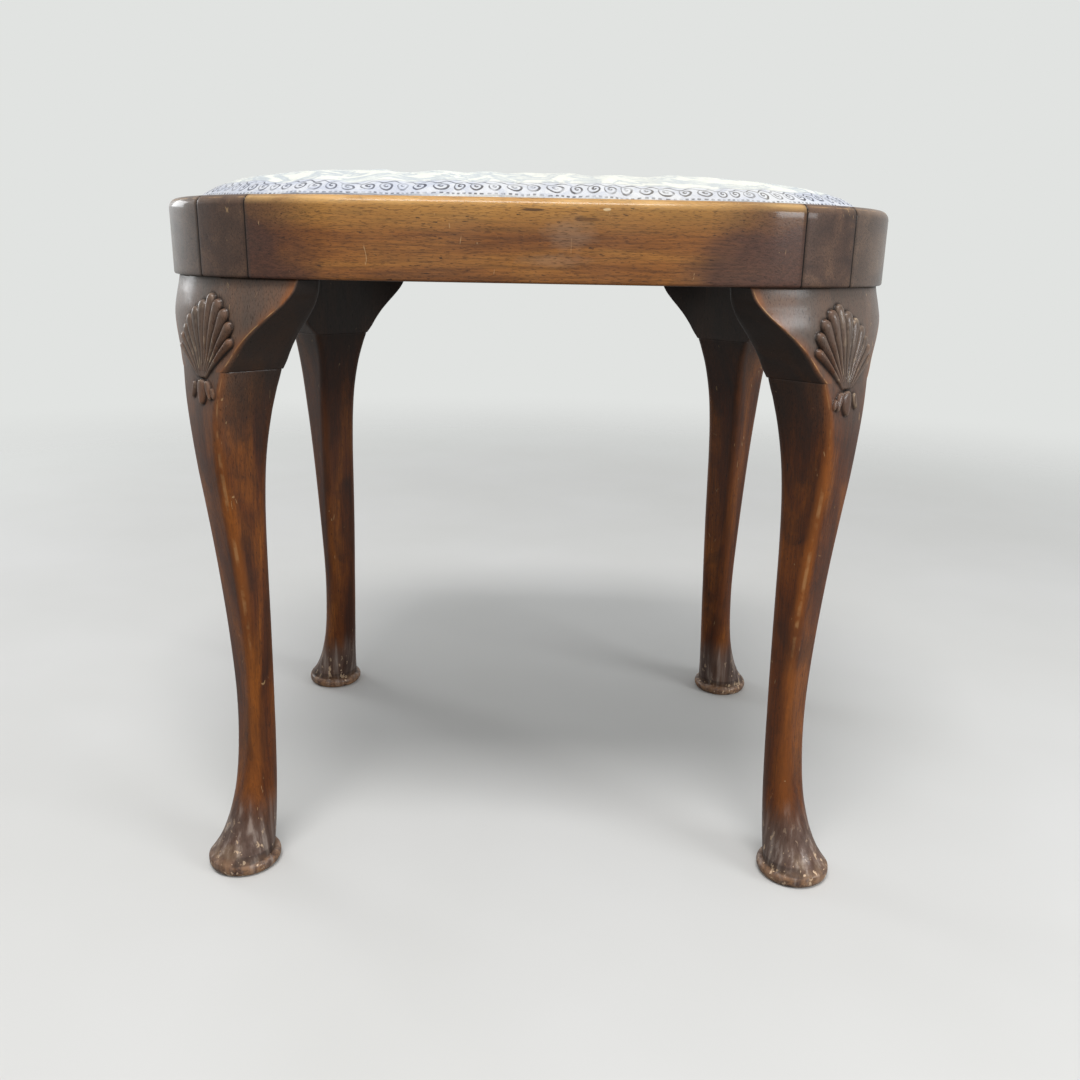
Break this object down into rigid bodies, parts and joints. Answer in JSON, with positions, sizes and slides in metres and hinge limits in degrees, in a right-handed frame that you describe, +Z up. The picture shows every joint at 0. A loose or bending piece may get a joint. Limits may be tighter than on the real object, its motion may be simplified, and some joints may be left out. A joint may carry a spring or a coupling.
{
  "type": "vanity bench",
  "caption": "Bowed dressing stool on cabriole legs with shell-carved knees and pad feet, and an upholstered drop-in seat that lifts out.",
  "frame": {"origin": "on the floor, under the middle of the stool", "axes": "+X to the sitter's right along the long side, +Y to the rear, +Z up; the front in the picture is -Y"},
  "size_m": [0.518, 0.418, 0.4923],
  "materials": {
    "rail_wood": "worn french polish on walnut",
    "leg_wood": "worn french polish on walnut",
    "dowel_wood": "bare beech",
    "seat_wood": "bare beech",
    "webbing": "herringbone flax and jute webbing",
    "hessian": "open plain-woven jute",
    "stuffing": "cotton wadding over hair",
    "cover": "woven cotton with a printed scroll border"
  },
  "bodies": {
    "frame": {"front_rail": "rail_wood", "rear_rail": "rail_wood", "left_rail": "rail_wood", "right_rail": "rail_wood", "front_left_block": "rail_wood", "front_right_block": "rail_wood", "rear_left_block": "rail_wood", "rear_right_block": "rail_wood", "front_left_leg": "leg_wood", "front_right_leg": "leg_wood", "rear_left_leg": "leg_wood", "rear_right_leg": "leg_wood", "front_left_ears": "leg_wood", "front_right_ears": "leg_wood", "rear_left_ears": "leg_wood", "rear_right_ears": "leg_wood", "rail_dowels": "dowel_wood", "leg_dowels": "dowel_wood", "ear_dowels": "dowel_wood"},
    "seat": {"seat_front_member": "seat_wood", "seat_rear_member": "seat_wood", "seat_left_member": "seat_wood", "seat_right_member": "seat_wood", "seat_dowels": "dowel_wood", "long_webbing": "webbing", "cross_webbing": "webbing", "hessian": "hessian", "stuffing": "stuffing", "seat_cover": "cover"}
  },
  "joints": [
    {"name": "seat_lift", "type": "slide", "parent": "frame", "child": "seat", "axis": [0, 0, 1], "range_m": [0, 0.06]}
  ]
}
